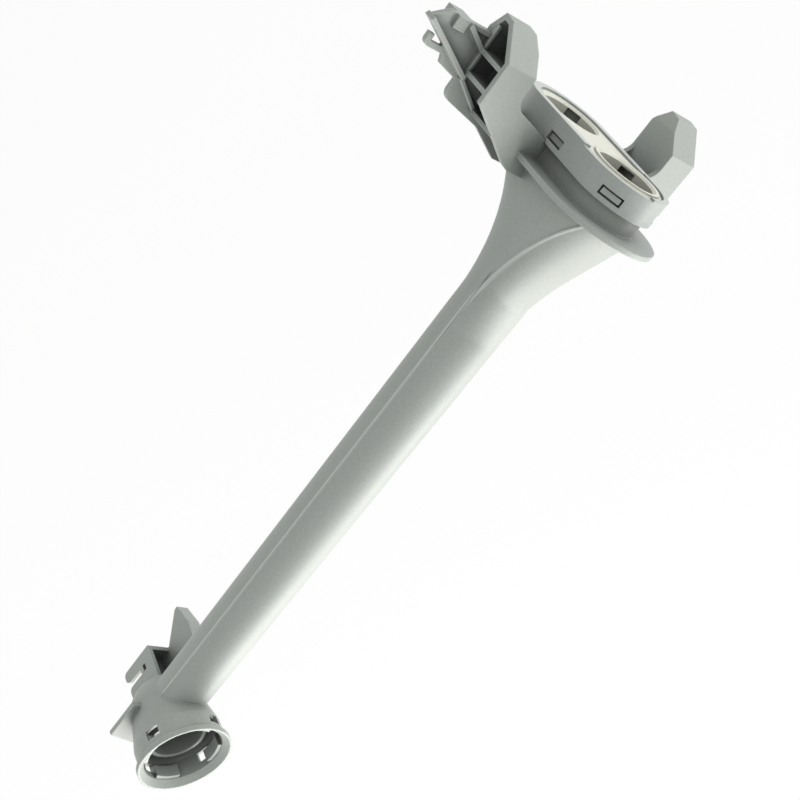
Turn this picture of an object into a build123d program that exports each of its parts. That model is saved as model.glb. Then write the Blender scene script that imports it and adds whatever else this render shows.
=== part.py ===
"""Feed tube of a dishwasher's upper spray arm.

It lies with the mouth of the spray arm socket up. The tube runs along +X from the
socket to the docking head, and the side that faces the basket in use is -Z.
Everything is drawn about the tube axis and moved to the socket's seat at the end.
"""
import os
from math import asin, copysign, cos, degrees, pi, sin, sqrt

from build123d import *

# Overall, in millimetres
reach = 300.0             # socket axis to the port face
wall = 1.8                # tube, flare and socket wall
plate = 2.0               # flat plates of wings, arms and brackets
rib = 1.6                 # stiffening ribs
tube_r_dock = 12.6        # outer radius where the flare ends
tube_r_socket = 11.2      # outer radius at the socket
tube_bore_r = 9.6         # straight bore, for the core
seam_rise = 0.3           # parting line along both sides of the tube
seam_wide = 0.8
seam_z = 2.6              # its height on the tube
seam_spread = 21.8        # how far it swings out with the flare

# Spray arm socket, with its axis along Z at x = 0
socket_height = 25.5      # mouth above the tube axis
lip_r = 20.4              # rim of the mouth
lip_edge = 0.9            # flat of the rim
lip_tall = 2.2
lip_depth = 2.6           # from the rim down to the seat edge
mouth_r = 17.0            # bore that takes the spray arm hub
seat_height = 14.6        # rim of the water sleeve above the tube axis
sleeve_wall = 1.5
throat_r = 11.2           # bore of the sleeve
groove_floor = 7.0        # bottom of the groove round the sleeve
dome_r = 15.5             # round end of the elbow
window_count = 4
window_wide = 6.0
window_tall = 4.4
window_gap = 0.8          # from the sleeve's rim up to the windows
window_turn = -20.0       # degrees from the tube's direction
lug_wide = 11.0
lug_depth = 1.8           # how far a bayonet lug stands into the bore
lug_tall = 5.4
lug_gap = 0.4             # from the lug up to the edge of the bore
lug_turn = 6.0

# Ports, insert and collar, depths counted from the port face along the tube
port_pitch = 38.4         # between the two ports
port_mid_z = -6.7         # middle of the ports below the tube axis
port_r = 11.4             # bore of a port
port_lead = 0.9           # lead-in chamfer at a port
port_land = 1.8           # insert wall outside a port
ring_wide = 1.3           # raised ring round the lower port
ring_rise = 0.7
insert_depth = 8.0        # port face to the flap seats
insert_lip = 1.6          # insert flange on the end of the neck
light_wide = 6.0          # side openings of the insert
light_tall = 4.0
light_turn = 43.0         # degrees round the port from its side
snap_gap = 0.2            # insert and collar round their seats
neck_wall = 1.8
collar_wall = 2.2
collar_rise = 0.8         # rim above the port face
collar_lip = 1.0          # rim over the insert flange
collar_depth = 9.6        # port face to the collar's lower edge
rim_step_z = 5.5          # past this height the rim is lower on one side and has no lip on the other
latch_depth = 6.2         # middle of the latch windows
latch_wide = 9.0
latch_tall = 3.4
latch_rise = 1.5          # tab out of the neck
latch_gap = 0.7           # tab to the window's edge
latch_turn = 45.0         # latches on the round ends, in degrees

# Flange and flare
flange_r = 25.0
flange_thick = 2.0
flange_depth = 16.2       # port face to the flange
flare_r = 17.5            # round end of the flare at the flange
flare_end = 80.0          # port face to the end of the flare
flare_start = 50.0        # where the tube runs out inside the flare
flare_dip = 0.6           # flare end under the tube's skin
flare_curve = 2.4         # how fast the flare draws in
flare_shift = 6.0         # how fast its middle comes to the tube axis
flare_stations = (0.0, 0.2, 0.45, 1.0)
oval_points = 12

# Shut-off flap
pin_r = 1.5
pin_clear = 0.05          # pin in the flap's knuckle
flap_thick = 1.6
flap_seal = 0.6           # disc past the port bore
flap_gap = 0.3            # disc to its seat, knuckle to the insert
flap_swing = 20.0         # degrees from one seat to the other
flap_web = 13.0           # width of the webs from knuckle to discs
knuckle_r = 2.9
knuckle_half = 8.6
ear_gap = 0.3             # flap to the insert ears that hold the pin

# Guide wings and the arms that carry them, heights below the tube axis
wing_in = 38.0            # guide face from the middle plane
wing_out = 51.5           # open rim
wing_top = 29.3           # basket side
wing_face = 9.8           # socket side
nose_tip = 18.8           # tip ahead of the port face
nose_shoulder = 11.9      # where the basket side starts to slope
nose_chin = 18.3
nose_heel = 7.8           # where the nose meets the socket side
nose_high = 25.5          # heights of the blunt tip
nose_low = 20.4
guide_end = 3.3           # guide plate behind the port face
lead_long = 5.0           # lead-in at the tip of a guide
lead_deep = 2.2
arm_gap = 0.4             # arm to the collar
arm_inner = 8.6           # inner edge of the arm's plates beside the collar
arm_inner_wing = 3.2      # the same edge where it meets the guide
arm_fillet = 6.0
arm_root = 24.4           # socket side plate, at the flare
arm_root_y = 23.8
arm_waist = 23.0
arm_waist_y = 27.4
arm_corner = 8.0          # where the arm reaches its full width
rib_depths = (-4.2, 4.4, 15.6)
lobe_root = 28.0          # basket side plate, at the flare
lobe_root_y = 16.5
lobe_waist = 20.4
lobe_waist_y = 31.2
lobe_corner = 16.0
lobe_fillet = 4.0

# Basket clip outboard of one wing, depths from the port face, widths out from the wing's rim
clip_front = -10.4
clip_back = 9.6
clip_step = 6.8
clip_step_out = 9.1
clip_end_out = 17.2
hook_arm = 3.7            # outer edge of the wire hook
hook_root_out = 10.5
hook_top_out = 19.9
hook_thick = 2.2
hook_nose = -0.8
bar_root = 7.4            # outer edge of the slanting lip
bar_tip = -5.0
bar_tip_out = 24.5
bar_tall = 3.0
brace_root = -3.3
brace_tip_out = 9.9
brace_tall = 3.0
block_deep = 4.4
block_wide = 5.0
block_tall = 1.8
catch_wide = 6.4          # wire catch on the basket side
catch_out = 10.8
catch_tall = 6.5
catch_nose = 3.0

# Basket bracket over the socket, heights below the tube axis
bracket_top = 28.6
bracket_y = 5.6           # outer face of the hook plate
bracket_back = -7.4
bracket_x = 8.3           # open end towards the docking head
cross_x = -1.0            # cross wall inside it
wire_hook_x = -12.0       # round end of the wire hook
wire_hook_tall = 5.4
hook_round = 2.2
wire_slot = 3.0
wire_slot_x = 3.0         # closed end of the slot
jaw_x = -11.5
jaw_low = 13.0
fin_tip = 40.0
fin_tip_x = 22.6
fin_root_x = 9.0
fin_wide = 5.8
fin_thick = 3.2
tab_x = -16.5             # corner tab beside the elbow
tab_y = 19.2
tab_far_x = -21.5
tab_far_y = 2.6
tab_root_x = 3.0
tab_z = 1.2               # its upper face from the tube axis

# Worked out from the above
insert_r = port_r + port_land
neck_bore_r = insert_r + snap_gap
neck_r = neck_bore_r + neck_wall
collar_bore_r = neck_r + snap_gap
collar_r = collar_bore_r + collar_wall
seat_x = reach - insert_depth
pivot_x = seat_x - flap_gap - knuckle_r
ear_inner = knuckle_half + ear_gap
ear_wide = insert_r - rib / 2 - ear_inner
port_heights = (port_mid_z - port_pitch / 2, port_mid_z + port_pitch / 2)
arm_depth = collar_depth + arm_gap
arm_inner_y = collar_r + arm_gap
flange_back = flange_depth + flange_thick
cup_r = mouth_r + wall


def behind(depth):
    return reach - depth


def block(x_range, y_range, z_range):
    sizes = [high - low for low, high in (x_range, y_range, z_range)]
    corner = Pos(x_range[0], y_range[0], z_range[0])
    return corner * Box(*sizes, align=Align.MIN)


def stadium(near, far, radius):
    place = Plane.YZ.offset(behind(far)) * Pos(0, port_mid_z)
    return extrude(place * SlotCenterToCenter(port_pitch, 2 * radius, rotation=90), far - near)


def port_cylinder(near, far, radius, height):
    place = Plane.YZ.offset(behind(far)) * Pos(0, height)
    return extrude(place * Circle(radius), far - near)


def flat_plate(points, low, thick, fillets=()):
    outline = Polygon(*[(behind(depth), y) for depth, y in points], align=None)
    for (depth, y), radius in fillets:
        corner = outline.vertices().sort_by_distance((behind(depth), y, 0))[0]
        outline = fillet(corner, radius)
    return extrude(Pos(0, 0, low) * outline, thick, dir=(0, 0, 1))


def side_plate(points, near_y, far_y, fillets=()):
    outline = Polygon(*points, align=None)
    for (x, z), radius in fillets:
        corner = outline.vertices().sort_by_distance((x, z, 0))[0]
        outline = fillet(corner, radius)
    place = Plane.XZ.offset(-near_y)
    return extrude(place * outline, far_y - near_y, dir=(0, 1, 0))


def oval(x, radius, pitch, mid):
    points = []
    for i in range(oval_points):
        turn = 2 * pi * i / oval_points
        lift = copysign(sqrt(abs(sin(turn))), sin(turn)) * pitch / 2
        points.append((x, radius * cos(turn), mid + lift + radius * sin(turn)))
    return make_face(Spline(*points, periodic=True))


# Tube and flare

def flare_place(t):
    depth = flange_back + t * (flare_end - flange_back)
    return behind(depth), (1 - t) ** flare_curve


def flare(inset):
    sections = []
    end_r = tube_r_dock - flare_dip - inset
    for t in flare_stations:
        x, left = flare_place(t)
        radius = end_r + (flare_r - tube_r_dock + flare_dip) * left
        sections.append(oval(x, radius, port_pitch * left, port_mid_z * (1 - t) ** flare_shift))
    return loft(sections)


def tube():
    start = behind(flare_start)
    outline = Polyline((0, 0), (0, tube_r_socket), (start, tube_r_dock), (start, 0), close=True)
    return revolve(make_face(Plane.XZ * outline), Axis.X)


def tube_ridge():
    start = behind(flare_start)
    half = wall / 2
    profile = Polygon(
        (0, tube_r_socket - half),
        (0, tube_r_socket + seam_rise),
        (start, tube_r_dock + seam_rise),
        (start, tube_r_dock - half),
        align=None,
    )
    wide = degrees(seam_wide / tube_r_dock)
    lift = degrees(asin(seam_z / tube_r_dock))
    ridge = Rot(-wide / 2, 0, 0) * revolve(profile, Axis.X, revolution_arc=wide)
    return [Rot(lift, 0, 0) * ridge, Rot(180 - lift, 0, 0) * ridge]


# Both parting lines of the flare: a thin wall that swings out with it, cut to a low ridge

def seams():
    line = []
    for t in flare_stations:
        x, left = flare_place(t)
        line.append((x, seam_z + seam_spread * left))
    low = Spline(*[(x, z - seam_wide / 2) for x, z in line])
    high = Spline(*[(x, z + seam_wide / 2) for x, z in line])
    swung = make_face(low + high + Line(low @ 0, high @ 0) + Line(low @ 1, high @ 1))
    return extrude(Plane.XZ * swung, flange_r, both=True) & flare(-seam_rise)


# Spray arm socket

def socket_body():
    lip_low = socket_height - lip_tall
    profile = Polyline(
        (0, -dome_r),
        (0, socket_height),
        (lip_r, socket_height),
        (lip_r, lip_low),
        (cup_r, lip_low - lip_r + cup_r),
        (cup_r, seat_height),
        (dome_r, 0),
    ) + ThreePointArc((dome_r, 0), (dome_r * sin(pi / 4), -dome_r * cos(pi / 4)), (0, -dome_r))
    return revolve(make_face(Plane.XZ * profile), Axis.Z)


def socket_bore():
    inner_r = dome_r - wall
    floor_low = groove_floor - wall
    floor_z = -inner_r * sin(pi / 3)
    groove_r = inner_r + (mouth_r - inner_r) * groove_floor / seat_height
    profile = Polyline(
        (0, floor_z),
        (0, socket_height),
        (lip_r - lip_edge, socket_height),
        (mouth_r, socket_height - lip_depth),
        (mouth_r, seat_height),
        (groove_r, groove_floor),
        (throat_r + sleeve_wall, groove_floor),
        (throat_r + sleeve_wall, seat_height),
        (throat_r, seat_height),
        (throat_r, floor_low),
        (inner_r, floor_low),
        (inner_r, 0),
        (inner_r * cos(pi / 6), -inner_r * sin(pi / 6)),
        (inner_r * cos(pi / 3), floor_z),
        close=True,
    )
    return revolve(make_face(Plane.XZ * profile), Axis.Z)


def round_socket(shape, turn):
    return [Rot(0, 0, turn + 360 / window_count * i) * shape for i in range(window_count)]


def socket_windows():
    low = seat_height + window_gap
    inner = throat_r + sleeve_wall
    hole = block((inner, lip_r), (-window_wide / 2, window_wide / 2), (low, low + window_tall))
    return round_socket(hole, window_turn)


def socket_lugs():
    high = socket_height - lip_depth - lug_gap
    inner = mouth_r - lug_depth
    ring = Pos(0, 0, high - lug_tall) * extrude(Circle(cup_r - wall / 2) - Circle(inner), lug_tall)
    sector = block((0, lip_r), (-lug_wide / 2, lug_wide / 2), (high - lug_tall, high))
    return round_socket(ring & sector, lug_turn)


# Latches that hold the collar, as boxes out of the middle of the neck

def latch_places():
    places = []
    for side in (0, 180):
        places.append(Pos(behind(latch_depth), 0, port_mid_z) * Rot(side, 0, 0))
    for height, lean in zip(port_heights, (-latch_turn, latch_turn)):
        places.append(Pos(behind(latch_depth), 0, height) * Rot(lean, 0, 0))
        places.append(Pos(behind(latch_depth), 0, height) * Rot(180 - lean, 0, 0))
    return places


def latch_boxes(inner, outer, margin):
    tall = latch_tall - 2 * margin
    wide = latch_wide - 2 * margin
    box = block((-tall / 2, tall / 2), (inner, outer), (-wide / 2, wide / 2))
    return [place * box for place in latch_places()]


# Guide wings and arms

def wing_profile(back):
    return [
        (behind(back), -wing_top),
        (behind(-nose_shoulder), -wing_top),
        (behind(-nose_tip), -nose_high),
        (behind(-nose_chin), -nose_low),
        (behind(-nose_heel), -wing_face),
        (behind(back), -wing_face),
    ]


def nose_shell():
    outline = Plane.XZ * Polygon(*wing_profile(guide_end), align=None)
    longer = Polygon(*wing_profile(guide_end + 2 * wing_top), align=None)
    inside = Plane.XZ * offset(longer, -plate, kind=Kind.INTERSECTION)
    shell = Pos(0, wing_out, 0) * extrude(outline - inside, wing_out - wing_in)
    guide = Pos(0, wing_in + plate, 0) * extrude(outline, plate)
    tip = -nose_tip
    lead_points = [(tip, wing_in), (tip + lead_long, wing_in), (tip, wing_in + lead_deep)]
    return shell + guide - flat_plate(lead_points, -wing_top, wing_top - wing_face)


def arm_edge(depth):
    if depth <= arm_corner:
        return wing_out
    share = (depth - arm_corner) / (arm_waist - arm_corner)
    return wing_out + share * (arm_waist_y - wing_out)


def arm_plates():
    face = flat_plate(
        [
            (arm_root, 0),
            (arm_root, arm_root_y),
            (arm_waist, arm_waist_y),
            (arm_corner, wing_out),
            (-nose_heel, wing_out),
            (-nose_heel, wing_in),
            (arm_inner_wing, wing_in),
            (arm_inner, arm_inner_y),
            (arm_depth, arm_inner_y),
            (arm_depth, 0),
        ],
        -wing_face - plate,
        plate,
        [((arm_inner_wing, wing_in), arm_fillet)],
    )
    top = flat_plate(
        [
            (lobe_root, 0),
            (lobe_root, lobe_root_y),
            (lobe_waist, lobe_waist_y),
            (lobe_corner, wing_out),
            (-nose_shoulder, wing_out),
            (-nose_shoulder, wing_in),
            (arm_inner_wing, wing_in),
            (arm_inner, arm_inner_y),
            (arm_depth, arm_inner_y),
            (arm_depth, 0),
        ],
        -wing_top,
        plate,
        [((arm_inner_wing, wing_in), arm_fillet), ((lobe_corner, wing_out), lobe_fillet)],
    )
    return face + top


def arm_webs():
    heights = (-wing_top, -wing_face)
    webs = block((behind(arm_depth + plate), behind(guide_end)), (wing_in, wing_in + plate), heights)
    webs += block((behind(arm_depth + plate), behind(arm_depth)), (0, wing_in + plate), heights)
    for depth in rib_depths:
        low = wing_in if depth < arm_depth else 0
        webs += block((behind(depth) - rib / 2, behind(depth) + rib / 2), (low, arm_edge(depth)), heights)
    return webs


def wing_and_arm():
    return nose_shell() + arm_plates() + arm_webs()


# Basket clip outboard of one wing

def slant(root_depth, root_y, tip_depth, tip_y, wide):
    run = Vector(tip_depth - root_depth, tip_y - root_y).normalized()
    side = Vector(-run.Y, run.X) * wide
    corners = [(root_depth, root_y), (tip_depth, tip_y)]
    return corners + [(d + side.X, y + side.Y) for d, y in reversed(corners)]


def basket_clip():
    low = -wing_top
    root_y = wing_out - plate
    end_y = wing_out + clip_end_out - hook_thick
    hook_top = wing_out + hook_top_out
    bar_tip_y = wing_out + bar_tip_out
    slot_root = hook_root_out + hook_thick
    slot_depth = bar_root + (bar_tip - bar_root) * slot_root / bar_tip_out
    tongue = flat_plate(
        [
            (clip_back, root_y),
            (clip_step, wing_out + clip_step_out),
            (hook_arm, wing_out + hook_root_out),
            (hook_arm, hook_top),
            (hook_nose, hook_top),
            (hook_nose, hook_top - hook_thick),
            (hook_arm - hook_thick, hook_top - hook_thick),
            (hook_arm - hook_thick, wing_out + slot_root),
            (slot_depth, wing_out + slot_root),
            (bar_tip, bar_tip_y),
            (clip_front, wing_out + clip_end_out),
            (clip_front, root_y),
        ],
        low,
        plate,
        [((hook_arm, hook_top), hook_thick), ((clip_front, wing_out + clip_end_out), hook_thick)],
    )
    bar = flat_plate(slant(bar_root, wing_out, bar_tip, bar_tip_y, rib), low, plate + bar_tall)
    brace_tip_y = wing_out + brace_tip_out
    brace_points = slant(brace_root, wing_out, clip_front + rib, brace_tip_y, rib)
    brace = flat_plate(brace_points, low, plate + brace_tall)
    post_x = behind(clip_front)
    front = block((post_x - rib, post_x), (wing_out, end_y), (low, low + plate + rib))
    end = block((post_x - block_deep, post_x), (end_y - block_wide, end_y), (low, low + plate + block_tall))
    catch_y = wing_out + catch_out
    catch_range = (catch_y - catch_wide / 2, catch_y + catch_wide / 2)
    catch = block((post_x - rib, post_x), catch_range, (low - catch_tall, low + plate))
    catch += block((post_x - catch_nose, post_x), catch_range, (low - catch_tall, low - catch_tall + rib))
    return tongue + bar + brace + front + end + catch


# Basket bracket over the socket

def basket_bracket():
    arm_low = -bracket_top + wire_hook_tall
    jaw_high = arm_low + wire_slot
    hook = side_plate(
        [
            (bracket_x, 0),
            (bracket_x, -bracket_top),
            (wire_hook_x, -bracket_top),
            (wire_hook_x, arm_low),
            (wire_slot_x, arm_low),
            (wire_slot_x, jaw_high),
            (jaw_x, jaw_high),
            (jaw_x, -jaw_low),
            (0, 0),
        ],
        bracket_y - plate,
        bracket_y,
        [
            ((wire_hook_x, -bracket_top), hook_round),
            ((wire_hook_x, arm_low), hook_round),
            ((jaw_x, jaw_high), hook_round),
            ((jaw_x, -jaw_low), hook_round),
        ],
    )
    top = block((cross_x, bracket_x), (bracket_back, bracket_y), (-bracket_top, -bracket_top + plate))
    cross = block((cross_x, cross_x + plate), (bracket_back, bracket_y), (-bracket_top, 0))
    back = block((cross_x, fin_root_x + plate), (bracket_back, bracket_back + plate), (-bracket_top, 0))
    fin = side_plate(
        [
            (fin_root_x, -bracket_top),
            (fin_tip_x - plate, -fin_tip),
            (fin_tip_x, -fin_tip),
            (fin_tip_x + fin_thick, -bracket_top),
            (fin_tip_x, 0),
            (fin_root_x, 0),
        ],
        bracket_back + plate - fin_wide,
        bracket_back + plate,
    )
    tab_points = [(tab_root_x, 0), (tab_root_x, tab_y), (tab_x, tab_y), (tab_far_x, tab_far_y), (tab_x, 0)]
    tab = extrude(Pos(0, 0, tab_z - plate) * Polygon(*tab_points, align=None), plate, dir=(0, 0, 1))
    return hook + top + cross + back + fin + tab


def feed_tube():
    right_arm = wing_and_arm()
    body = tube() + flare(0) + socket_body()
    body += seams()
    for ridge in tube_ridge():
        body += ridge
    body += stadium(flange_depth, flange_back, flange_r)
    body += stadium(insert_lip, flange_depth, neck_r)
    body += right_arm
    body += mirror(right_arm, Plane.XZ)
    body += basket_clip()
    body += basket_bracket()
    for box in latch_boxes(neck_bore_r + neck_wall / 2, neck_r + latch_rise, latch_gap):
        body += box
    body -= flare(wall)
    body -= extrude(Plane.YZ * Circle(tube_bore_r), behind(flare_start))
    body -= stadium(0, flange_back + wall, neck_bore_r)
    body -= socket_bore()
    for hole in socket_windows():
        body -= hole
    for lug in socket_lugs():
        body += lug
    return body


# Collar and insert

def docking_collar():
    collar = stadium(-collar_rise, collar_depth, collar_r)
    collar -= stadium(0, collar_depth, collar_bore_r)
    collar -= stadium(-collar_rise, 0, neck_r - collar_lip)
    low_rim = (rim_step_z, flange_r * 2)
    collar -= block((reach, reach + collar_rise), (0, collar_r), low_rim)
    lip = stadium(-collar_rise, 0, collar_bore_r)
    collar -= lip & block((reach, reach + collar_rise), (-collar_r, 0), low_rim)
    for box in latch_boxes(neck_bore_r, collar_r + collar_wall, 0):
        collar -= box
    return collar


def port_insert():
    from_base = (Align.CENTER, Align.CENTER, Align.MIN)
    lower_port = port_heights[1]
    core = stadium(insert_lip, insert_depth, insert_r - rib)
    for height in port_heights:
        core -= port_cylinder(insert_lip, insert_depth, insert_r, height)
    insert = stadium(0, insert_lip, neck_r) + stadium(0, insert_depth, insert_r) - core
    insert += port_cylinder(-ring_rise, 0, port_r + port_lead + ring_wide, lower_port)
    light_x = (behind(port_lead + light_tall), behind(port_lead))
    light = block(light_x, (0, neck_bore_r), (-light_wide / 2, light_wide / 2))
    for height in port_heights:
        front = -ring_rise if height == lower_port else 0
        place = Plane.YZ.offset(behind(front + port_lead)) * Pos(0, height)
        insert -= place * Cone(port_r, port_r + port_lead, port_lead, align=from_base)
        insert -= port_cylinder(-ring_rise, insert_depth, port_r, height)
        insert -= Pos(0, 0, height) * Rot(-light_turn, 0, 0) * light
        insert -= Pos(0, 0, height) * Rot(180 + light_turn, 0, 0) * light
    ear_long = reach - insert_lip - pivot_x
    ear = Circle(knuckle_r) + Pos(ear_long / 2, 0) * Rectangle(ear_long, 2 * knuckle_r)
    for near_y in (ear_inner, -ear_inner - ear_wide):
        place = Plane.XZ.offset(-near_y) * Pos(pivot_x, port_mid_z)
        insert += extrude(place * ear, ear_wide, dir=(0, 1, 0))
    pin_hole = Plane.XZ.offset(-neck_bore_r) * Pos(pivot_x, port_mid_z) * Circle(pin_r)
    return insert - extrude(pin_hole, 2 * neck_bore_r)


# Flap, at rest on the seat of the port that is upper in use

def flap_leaf(side):
    height = port_heights[0] if side < 0 else port_heights[1]
    front = insert_depth + flap_gap
    leaf = port_cylinder(front, front + flap_thick, port_r + flap_seal, height)
    z_range = sorted((port_mid_z, height))
    leaf += block((behind(front + flap_thick), behind(front)), (-flap_web / 2, flap_web / 2), z_range)
    return leaf


def shut_off_flap():
    pivot = Pos(pivot_x, 0, port_mid_z)
    open_leaf = pivot * Rot(0, -flap_swing, 0) * pivot.inverse() * flap_leaf(1)
    barrel = Plane.XZ.offset(-knuckle_half) * Pos(pivot_x, port_mid_z) * Circle(knuckle_r)
    flap = flap_leaf(-1) + open_leaf + extrude(barrel, 2 * knuckle_half)
    bore = Plane.XZ.offset(-neck_bore_r) * Pos(pivot_x, port_mid_z) * Circle(pin_r + pin_clear)
    return flap - extrude(bore, 2 * neck_bore_r)


def flap_pin():
    half = ear_inner + ear_wide
    rod = Plane.XZ.offset(-half) * Pos(pivot_x, port_mid_z) * Circle(pin_r)
    return extrude(rod, 2 * half)


nodes = {
    "feed_tube": feed_tube(),
    "docking_collar": docking_collar(),
    "port_insert": port_insert(),
    "shut_off_flap": shut_off_flap(),
    "flap_pin": flap_pin(),
}

os.makedirs("parts", exist_ok=True)
to_seat = Pos(0, 0, -seat_height)
for name, shape in nodes.items():
    export_step(to_seat * shape, f"parts/{name}.step")
    print(name, round(shape.volume), shape.is_valid)
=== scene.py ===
import math
import bpy
import bmesh
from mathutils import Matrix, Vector


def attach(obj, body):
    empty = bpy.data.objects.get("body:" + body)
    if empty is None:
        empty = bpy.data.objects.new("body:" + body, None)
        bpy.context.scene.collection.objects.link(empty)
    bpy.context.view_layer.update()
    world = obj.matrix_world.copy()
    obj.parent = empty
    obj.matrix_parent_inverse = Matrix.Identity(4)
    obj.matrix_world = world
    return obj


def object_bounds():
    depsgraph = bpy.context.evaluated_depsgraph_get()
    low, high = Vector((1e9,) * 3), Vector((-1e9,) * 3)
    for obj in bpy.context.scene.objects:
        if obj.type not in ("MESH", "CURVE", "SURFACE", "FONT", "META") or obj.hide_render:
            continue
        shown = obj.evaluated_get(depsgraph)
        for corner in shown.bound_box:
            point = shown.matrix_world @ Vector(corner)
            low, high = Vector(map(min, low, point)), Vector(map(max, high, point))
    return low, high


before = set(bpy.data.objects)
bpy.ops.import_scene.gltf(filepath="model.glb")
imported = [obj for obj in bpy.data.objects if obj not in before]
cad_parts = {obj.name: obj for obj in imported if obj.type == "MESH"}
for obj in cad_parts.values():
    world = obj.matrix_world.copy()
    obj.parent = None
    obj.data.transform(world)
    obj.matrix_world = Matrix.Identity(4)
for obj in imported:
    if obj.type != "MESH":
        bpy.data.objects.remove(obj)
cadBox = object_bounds()
print("frame loaded", len(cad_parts), "nodes")


# node helpers: an input is given a plain value, or the output of another node to link to it

def feed(tree, node, inputs):
    for label, value in inputs.items():
        if isinstance(value, bpy.types.NodeSocket):
            tree.links.new(value, node.inputs[label])
        else:
            node.inputs[label].default_value = value


def nodeIn(tree, kind, inputs, **settings):
    node = tree.nodes.new("ShaderNode" + kind)
    for label, value in settings.items():
        setattr(node, label, value)
    feed(tree, node, inputs)
    return node.outputs


def noiseIn(tree, vector, scale, detail, roughness):
    inputs = {"Vector": vector, "Scale": scale, "Detail": detail, "Roughness": roughness}
    return nodeIn(tree, "TexNoise", inputs)["Fac"]


def rangeIn(tree, value, source, target):
    inputs = {"Value": value}
    for label, (low, high) in (("From", source), ("To", target)):
        inputs[label + " Min"] = low
        inputs[label + " Max"] = high
    return nodeIn(tree, "MapRange", inputs)["Result"]


def mathIn(tree, operation, *ends):
    return nodeIn(tree, "Math", dict(enumerate(ends)), operation=operation)["Value"]


def mixIn(tree, blend, factor, first, second):
    inputs = {0: factor, 6: first, 7: second}       # 6, 7 and output 2 are the Mix node's colours
    return nodeIn(tree, "Mix", inputs, data_type="RGBA", blend_type=blend)[2]


def dimIn(tree, color, value):
    grey = nodeIn(tree, "CombineColor", {"Red": value, "Green": value, "Blue": value})["Color"]
    return mixIn(tree, "MULTIPLY", 1.0, color, grey)


def newGroup(name, inputs, outputs):
    group = bpy.data.node_groups.new(name, "ShaderNodeTree")
    for side, sockets in (("INPUT", inputs), ("OUTPUT", outputs)):
        for label, kind in sockets.items():
            group.interface.new_socket(label, in_out=side, socket_type="NodeSocket" + kind)
    entry = group.nodes.new("NodeGroupInput").outputs
    leave = group.nodes.new("NodeGroupOutput")
    return group, entry, leave


def newMaterial(name):
    material = bpy.data.materials.new(name)
    material.use_nodes = True
    tree = material.node_tree
    return material, tree, tree.nodes["Principled BSDF"]


rise, fall = (0.0, 1.0), (1.0, 0.0)     # the two ways that a mask can go
noiseSpan = (0.3, 0.7)                  # where most values of a noise texture lie


# moulded plastic: cloudy flow tone, fine spark texture, a gloss that wanders with it
skinLook = {
    "melt": (0.35, 1.0, 1.0),       # the melt runs along the tube
    "cloud": (38.0, 3.0, 0.55),     # each noise has scale, detail and roughness
    "spark": (2600.0, 2.0, 0.6),
    "fleck": (900.0, 1.0, 0.5),
    "flowSpan": (0.35, 0.68),
    "fleckTone": (0.965, 1.03),
}


def makeMouldSkin(look):
    group, entry, leave = newGroup(
        "mouldSkin",
        {"Vector": "Vector", "Tone": "Color", "Flow Tone": "Color", "Gloss Low": "Float",
         "Gloss High": "Float"},
        {"Color": "Color", "Roughness": "Float", "Height": "Float"})
    vector = entry["Vector"]
    melt = nodeIn(group, "Mapping", {"Vector": vector, "Scale": look["melt"]})["Vector"]
    cloud = noiseIn(group, melt, *look["cloud"])
    flow = rangeIn(group, cloud, look["flowSpan"], rise)
    tone = mixIn(group, "MIX", flow, entry["Tone"], entry["Flow Tone"])
    fleck = rangeIn(group, noiseIn(group, vector, *look["fleck"]), noiseSpan, look["fleckTone"])
    feed(group, leave, {
        "Color": dimIn(group, tone, fleck),
        "Roughness": rangeIn(group, cloud, noiseSpan, (entry["Gloss Low"], entry["Gloss High"])),
        "Height": noiseIn(group, vector, *look["spark"]),
    })
    return group


# moulded edges: rounded in the normal, and paler along them, partly wear where hands and baskets rub and
# partly a painted highlight
edgeLook = {
    "samples": 6,
    "bend": (0.995, 0.86),          # cosine between the flat and the rounded normal, from a plain to a fully pale edge (wear and painted highlight)
    "patch": (160.0, 2.0, 0.5),
    "patchAmount": (0.55, 1.0),
}


def makeEdgeWearAndHighlight(look):
    group, entry, leave = newGroup(
        "edgeWearAndHighlight",
        {"Vector": "Vector", "Color": "Color", "Edge Color": "Color", "Radius": "Float", "Amount": "Float"},
        {"Color": "Color", "Normal": "Vector"})
    rounded = nodeIn(group, "Bevel", {"Radius": entry["Radius"]}, samples=look["samples"])["Normal"]
    flat = nodeIn(group, "NewGeometry", {})["Normal"]
    bend = nodeIn(group, "VectorMath", {0: rounded, 1: flat}, operation="DOT_PRODUCT")["Value"]
    edge = rangeIn(group, bend, look["bend"], rise)
    patch = rangeIn(group, noiseIn(group, entry["Vector"], *look["patch"]), noiseSpan, look["patchAmount"])
    wearAndHighlight = mathIn(group, "MULTIPLY", mathIn(group, "MULTIPLY", edge, patch), entry["Amount"])
    feed(group, leave, {
        "Color": mixIn(group, "MIX", wearAndHighlight, entry["Color"], entry["Edge Color"]),
        "Normal": rounded,
    })
    return group


# painted shade: base colour darkened in deep recesses, found by ambient occlusion, as less light comes back
# out of them
recessLook = {"samples": 8, "open": (0.15, 0.85)}


def makeRecessShade(look):
    group, entry, leave = newGroup(
        "recessShade",
        {"Color": "Color", "Depth": "Float", "Shade": "Float"},
        {"Color": "Color"})
    reach = nodeIn(group, "AmbientOcclusion", {"Distance": entry["Depth"]}, samples=look["samples"])["AO"]
    shade = rangeIn(group, reach, look["open"], (entry["Shade"], 1.0))
    feed(group, leave, {"Color": dimIn(group, entry["Color"], shade)})
    return group
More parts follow.
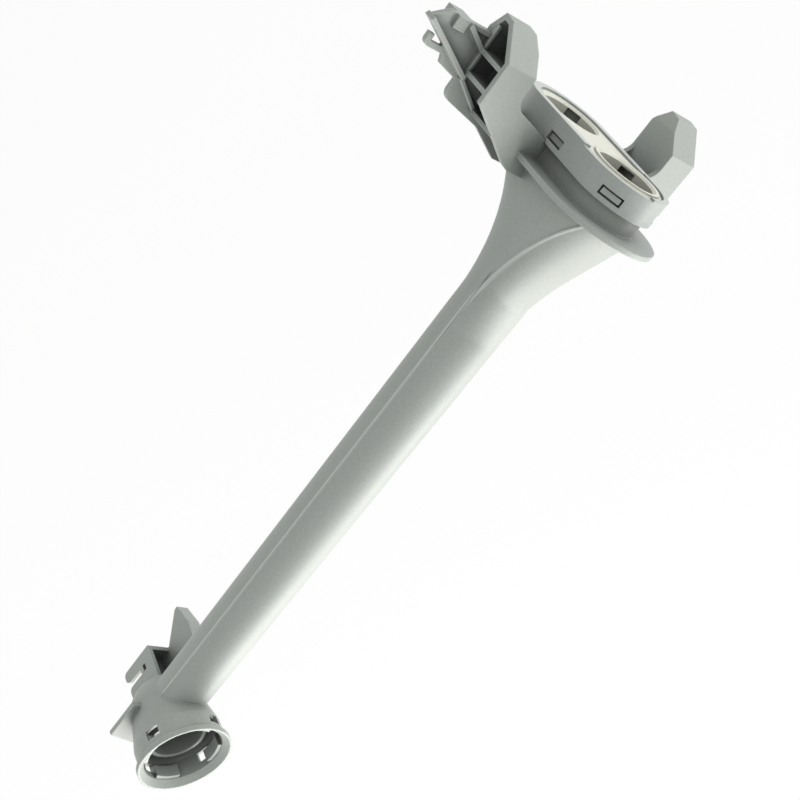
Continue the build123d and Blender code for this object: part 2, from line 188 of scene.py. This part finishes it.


# parting line of the tube, which swings out with the flare and is painted paler as a highlight along its
# ridge, the flatter face of the flare above it, and the soft run-out of flare into tube
seamLook = {
    "axis": -0.0146,                # the tube's axis lies below the socket's seat
    "offset": 0.0023,
    "climb": 0.0012,
    "flareEnd": 0.220,
    "flangeBack": 0.2818,
    "curve": 2.4,
    "spread": 0.0218,
    "half": 0.0005,
    "fade": 0.0004,
    "side": (0.006, 0.008),         # the line fades in this far out from the middle
    "socketEnd": (0.012, 0.014),
    "crease": 0.0016,
    "creaseCurve": 0.5,
    "roundSmall": 0.0006,
    "roundLarge": 0.0040,
    "roundOn": (0.205, 0.216),
    "roundOff": (0.246, 0.262),
}


def makePartingLine(look):
    group, entry, leave = newGroup(
        "partingLine",
        {"Vector": "Vector"},
        {"Line": "Float", "Upper": "Float", "Round": "Float"})
    split = nodeIn(group, "SeparateXYZ", {"Vector": entry["Vector"]})
    along, across, up = split["X"], split["Y"], split["Z"]
    share = rangeIn(group, along, (look["flareEnd"], look["flangeBack"]), rise)
    swing = mathIn(group, "MULTIPLY", mathIn(group, "POWER", share, look["curve"]), look["spread"])
    climb = mathIn(group, "MULTIPLY", along, look["climb"])
    straight = mathIn(group, "ADD", climb, look["axis"] + look["offset"])
    above = mathIn(group, "SUBTRACT", up, mathIn(group, "ADD", straight, swing))
    away = mathIn(group, "ABSOLUTE", above)
    near = rangeIn(group, away, (look["half"], look["half"] + look["fade"]), fall)
    outer = rangeIn(group, mathIn(group, "ABSOLUTE", across), look["side"], rise)
    pastSocket = rangeIn(group, along, look["socketEnd"], rise)
    beforeFlange = rangeIn(group, along, (look["flangeBack"] - look["fade"], look["flangeBack"]), fall)
    onTube = mathIn(group, "MULTIPLY", mathIn(group, "MULTIPLY", outer, pastSocket), beforeFlange)
    lifted = mathIn(group, "MULTIPLY", rangeIn(group, above, (0.0, look["crease"]), rise), beforeFlange)
    growth = mathIn(group, "POWER", share, look["creaseCurve"])
    small, large = look["roundSmall"], look["roundLarge"]
    roundOn = rangeIn(group, along, look["roundOn"], (small, large))
    roundOff = rangeIn(group, along, look["roundOff"], (large, small))
    feed(group, leave, {
        "Line": mathIn(group, "MULTIPLY", near, onTube),
        "Upper": mathIn(group, "MULTIPLY", lifted, growth),
        "Round": mathIn(group, "MINIMUM", roundOn, roundOff),
    })
    return group


mouldSkin = makeMouldSkin(skinLook)
edgeWearAndHighlight = makeEdgeWearAndHighlight(edgeLook)
recessShade = makeRecessShade(recessLook)
partingLine = makePartingLine(seamLook)

# the same for every plastic here
plasticLook = {"textureDepth": 0.00004, "bloomRoughness": 0.35, "endFacing": (0.8, 0.95)}


def makePlastic(name, look):
    material, tree, shader = newMaterial(name)
    place = nodeIn(tree, "TexCoord", {})["Object"]
    skin = nodeIn(tree, "Group", {
        "Vector": place,
        "Tone": look["tone"],
        "Flow Tone": look["flowTone"],
        "Gloss Low": look["glossLow"],
        "Gloss High": look["glossHigh"],
    }, node_tree=mouldSkin)
    color = skin["Color"]
    hasSeam = "seamHighlightTone" in look
    if hasSeam:
        seam = nodeIn(tree, "Group", {"Vector": place}, node_tree=partingLine)
        # painted highlight: the parting line's ridge made paler
        color = mixIn(tree, "MIX", seam["Line"], color, look["seamHighlightTone"])
    # painted light: faces that face the docking end made paler
    if "litEndTone" in look:
        normal = nodeIn(tree, "NewGeometry", {})["Normal"]
        facing = nodeIn(tree, "SeparateXYZ", {"Vector": normal})["X"]
        ahead = rangeIn(tree, facing, plasticLook["endFacing"], rise)
        color = mixIn(tree, "MIX", ahead, color, look["litEndTone"])
    # edges made paler: partly wear, partly a painted highlight
    edge = nodeIn(tree, "Group", {
        "Vector": place,
        "Color": color,
        "Edge Color": look["edgeTone"],
        "Radius": seam["Round"] if hasSeam else look["edgeRadius"],
        "Amount": look["edgeAmount"],
    }, node_tree=edgeWearAndHighlight)
    rounded = edge["Normal"]
    if hasSeam:
        lean = nodeIn(tree, "VectorMath", {0: look["creaseLean"], "Scale": seam["Upper"]}, operation="SCALE")
        rounded = nodeIn(tree, "VectorMath", {0: rounded, 1: lean["Vector"]}, operation="ADD")["Vector"]
    bump = nodeIn(tree, "Bump", {
        "Strength": look["texture"],
        "Distance": plasticLook["textureDepth"],
        "Height": skin["Height"],
        "Normal": rounded,
    })
    # painted shade: base colour darkened in recesses
    recess = nodeIn(tree, "Group", {
        "Color": edge["Color"],
        "Depth": look["recessDepth"],
        "Shade": look["recessShade"],
    }, node_tree=recessShade)
    feed(tree, shader, {
        "Base Color": recess["Color"],
        "Roughness": skin["Roughness"],
        "Normal": bump["Normal"],
        "IOR": look["ior"],
        "Specular IOR Level": look["shine"],
        "Sheen Weight": look["bloom"],
        "Sheen Roughness": plasticLook["bloomRoughness"],
    })
    return material


def dress(node, material):
    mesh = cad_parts[node].data
    mesh.materials.clear()
    mesh.materials.append(material)
    print("dressed", node)


# grey plastic of the tube moulding
tubeLook = {
    "tone": (0.414, 0.436, 0.414, 1.0),
    "flowTone": (0.434, 0.455, 0.433, 1.0),
    "edgeTone": (0.78, 0.795, 0.77, 1.0),
    "edgeAmount": 0.85,
    "seamHighlightTone": (0.61, 0.64, 0.61, 1.0),
    "creaseLean": (-0.75, 0.0, 0.95),
    "recessDepth": 0.029,
    "recessShade": 0.32,
    "glossLow": 0.42,
    "glossHigh": 0.52,
    "texture": 0.25,
    "ior": 1.49,
    "shine": 0.45,
    "bloom": 0.12,
}
greyMoulding = makePlastic("greyMoulding", tubeLook)
dress("feed_tube", greyMoulding)

# lip that closes the open cells of the clip's wing toward the clip, standing on the wing's plate
lipLook = {
    "rim": ((0.3142, 0.0514), (0.2920, 0.0514), (0.2836, 0.0379)),  # from the nose toward the flange
    "wide": 0.0016,
    "foot": -0.0424,
    "crest": -0.0395,
    "rounding": 0.0003,
}


def makeLip(look, material):
    rim = [Vector(point) for point in look["rim"]]
    runs = [(after - before).normalized() for before, after in zip(rim, rim[1:])]
    first, second = [Vector((-run.y, run.x)) for run in runs]
    mitre = (first + second) / (1.0 + first.dot(second))
    inner = [point + side * look["wide"] for point, side in zip(rim, (first, mitre, second))]
    build = bmesh.new()
    foot = [build.verts.new((point.x, point.y, look["foot"])) for point in rim + inner[::-1]]
    base = build.faces.new(foot)
    raised = bmesh.ops.extrude_face_region(build, geom=[base], use_keep_orig=True)["geom"]
    crest = [item for item in raised if isinstance(item, bmesh.types.BMVert)]
    bmesh.ops.translate(build, vec=Vector((0.0, 0.0, look["crest"] - look["foot"])), verts=crest)
    edges = [edge for edge in build.edges if edge.verts[0] in crest and edge.verts[1] in crest]
    bmesh.ops.bevel(build, geom=edges, offset=look["rounding"], affect="EDGES", segments=2, profile=0.5,
                    material=-1)
    bmesh.ops.recalc_face_normals(build, faces=build.faces)
    mesh = bpy.data.meshes.new("cellLip")
    build.to_mesh(mesh)
    build.free()
    mesh.materials.append(material)
    lip = bpy.data.objects.new("cellLip", mesh)
    bpy.context.scene.collection.objects.link(lip)
    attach(lip, "tube")


makeLip(lipLook, greyMoulding)
print("lip done")

# the snap-on collar comes from another mould: a touch cooler, and with painted light on its end faces, which
# are made paler
collarLook = {
    "tone": (0.412, 0.434, 0.422, 1.0),
    "flowTone": (0.430, 0.452, 0.440, 1.0),
    "litEndTone": (0.66, 0.68, 0.66, 1.0),
    "edgeTone": (0.74, 0.75, 0.73, 1.0),
    "edgeRadius": 0.0005,
    "edgeAmount": 0.7,
    "recessDepth": 0.006,
    "recessShade": 0.45,
    "glossLow": 0.38,
    "glossHigh": 0.48,
    "texture": 0.2,
    "ior": 1.49,
    "shine": 0.5,
    "bloom": 0.06,
}
dress("docking_collar", makePlastic("greyCollar", collarLook))

# natural, slightly yellow insert, and the flap in a darker tone of it
insertLook = {
    "tone": (0.87, 0.86, 0.75, 1.0),
    "flowTone": (0.89, 0.88, 0.80, 1.0),
    "edgeTone": (0.90, 0.89, 0.83, 1.0),
    "edgeRadius": 0.0003,
    "edgeAmount": 0.4,
    "recessDepth": 0.030,
    "recessShade": 0.30,
    "glossLow": 0.36,
    "glossHigh": 0.46,
    "texture": 0.15,
    "ior": 1.5,
    "shine": 0.5,
    "bloom": 0.0,
}
dress("port_insert", makePlastic("creamInsert", insertLook))

flapLook = dict(insertLook, tone=(0.70, 0.69, 0.60, 1.0), flowTone=(0.74, 0.73, 0.65, 1.0))
dress("shut_off_flap", makePlastic("creamFlap", flapLook))

# ground steel pin, with the grinding lines round it
pinLook = {
    "tone": (0.62, 0.62, 0.61, 1.0),
    "dark": (0.50, 0.50, 0.50, 1.0),
    "roughness": 0.28,
    "stretch": (0.05, 1.0, 0.05),
    "scratch": (9000.0, 2.0, 0.5),
    "scratchStrength": 0.2,
    "scratchDepth": 0.00003,
}


def makeGroundSteel(look):
    material, tree, shader = newMaterial("groundSteel")
    place = nodeIn(tree, "TexCoord", {})["Object"]
    lines = nodeIn(tree, "Mapping", {"Vector": place, "Scale": look["stretch"]})["Vector"]
    scratch = noiseIn(tree, lines, *look["scratch"])
    bump = nodeIn(tree, "Bump", {
        "Strength": look["scratchStrength"],
        "Distance": look["scratchDepth"],
        "Height": scratch,
    })
    feed(tree, shader, {
        "Base Color": mixIn(tree, "MIX", scratch, look["dark"], look["tone"]),
        "Metallic": 1.0,
        "Roughness": look["roughness"],
        "Normal": bump["Normal"],
    })
    return material


dress("flap_pin", makeGroundSteel(pinLook))
print("materials done")

# floor, white to the camera and still holding a faint shadow
floorLook = {
    "middle": 0.15,
    "half": 3.0,
    "drop": 0.10,
    "tone": (0.50, 0.50, 0.50, 1.0),
    "roughness": 0.9,
    "glow": 0.93,
}


def makeFloor(look):
    mesh = bpy.data.meshes.new("floor")
    build = bmesh.new()
    bmesh.ops.create_grid(build, x_segments=1, y_segments=1, size=look["half"])
    place = Vector((look["middle"], 0.0, cadBox[0][2] - look["drop"]))
    bmesh.ops.translate(build, vec=place, verts=build.verts)
    build.to_mesh(mesh)
    build.free()
    floor = bpy.data.objects.new("floor", mesh)
    bpy.context.scene.collection.objects.link(floor)
    material, tree, shader = newMaterial("paleFloor")
    feed(tree, shader, {"Base Color": look["tone"], "Roughness": look["roughness"]})
    path = nodeIn(tree, "LightPath", {})
    seen = mathIn(tree, "MAXIMUM", path["Is Camera Ray"], path["Is Glossy Ray"])
    share = mathIn(tree, "MULTIPLY", seen, look["glow"])
    glow = nodeIn(tree, "Emission", {})["Emission"]
    blend = nodeIn(tree, "MixShader", {"Fac": share, 1: shader.outputs["BSDF"], 2: glow})["Shader"]
    feed(tree, tree.nodes["Material Output"], {"Surface": blend})
    mesh.materials.append(material)


makeFloor(floorLook)
print("floor done")

# soft studio light: a long, low softbox by the socket, so the head shades its clip side, and a weak one ahead
lampLook = {
    "key": {
        "place": (-0.50, -0.76, 0.58),
        "wide": 1.4,
        "tall": 0.7,
        "power": 20.5,
        "color": (1.0, 0.987, 0.955),
    },
    "front": {
        "place": (0.95, -0.55, 0.18),
        "wide": 0.6,
        "tall": 0.6,
        "power": 3.0,
        "color": (1.0, 1.0, 0.985),
    },
}
lampAim = Vector((0.15, 0.0, -0.02))


def addLamp(name, look):
    light = bpy.data.lights.new(name, "AREA")
    light.shape = "RECTANGLE"
    light.size = look["wide"]
    light.size_y = look["tall"]
    light.energy = look["power"]
    light.color = look["color"]
    lamp = bpy.data.objects.new(name, light)
    lamp.location = look["place"]
    lamp.rotation_euler = (lampAim - lamp.location).to_track_quat("-Z", "Y").to_euler()
    bpy.context.scene.collection.objects.link(lamp)


for lampName, lampValues in lampLook.items():
    addLamp(lampName, lampValues)

# even light from all round, and a plain white backdrop for the camera
worldLook = {
    "light": (0.97, 1.0, 0.98, 1.0),
    "strength": 0.70,
    "backdrop": (1.0, 1.0, 1.0, 1.0),
    "backdropStrength": 1.0,
}


def makeWorld(look):
    world = bpy.data.worlds.new("studio")
    world.use_nodes = True
    tree = world.node_tree
    soft = tree.nodes["Background"]
    feed(tree, soft, {"Color": look["light"], "Strength": look["strength"]})
    white = nodeIn(tree, "Background", {"Color": look["backdrop"], "Strength": look["backdropStrength"]})
    blend = nodeIn(tree, "MixShader", {
        "Fac": nodeIn(tree, "LightPath", {})["Is Camera Ray"],
        1: soft.outputs["Background"],
        2: white["Background"],
    })
    feed(tree, tree.nodes["World Output"], {"Surface": blend["Shader"]})
    bpy.context.scene.world = world


makeWorld(worldLook)
print("light done")

# camera where the photograph was taken from
cameraLook = {
    "place": (0.381195, 0.348466, 0.316399),
    "turn": (-45.6645, -23.5897, -51.5726),
    "lens": 62.186,
    "sensor": 36.0,
    "near": 0.01,
}
cameraData = bpy.data.cameras.new("photoCamera")
cameraData.lens = cameraLook["lens"]
cameraData.sensor_width = cameraLook["sensor"]
cameraData.clip_start = cameraLook["near"]
cameraData.dof.use_dof = False
photoCamera = bpy.data.objects.new("photoCamera", cameraData)
photoCamera.location = cameraLook["place"]
photoCamera.rotation_euler = [math.radians(angle) for angle in cameraLook["turn"]]
bpy.context.scene.collection.objects.link(photoCamera)
bpy.context.scene.camera = photoCamera
bpy.context.scene.view_settings.view_transform = "Standard"
print("camera done")
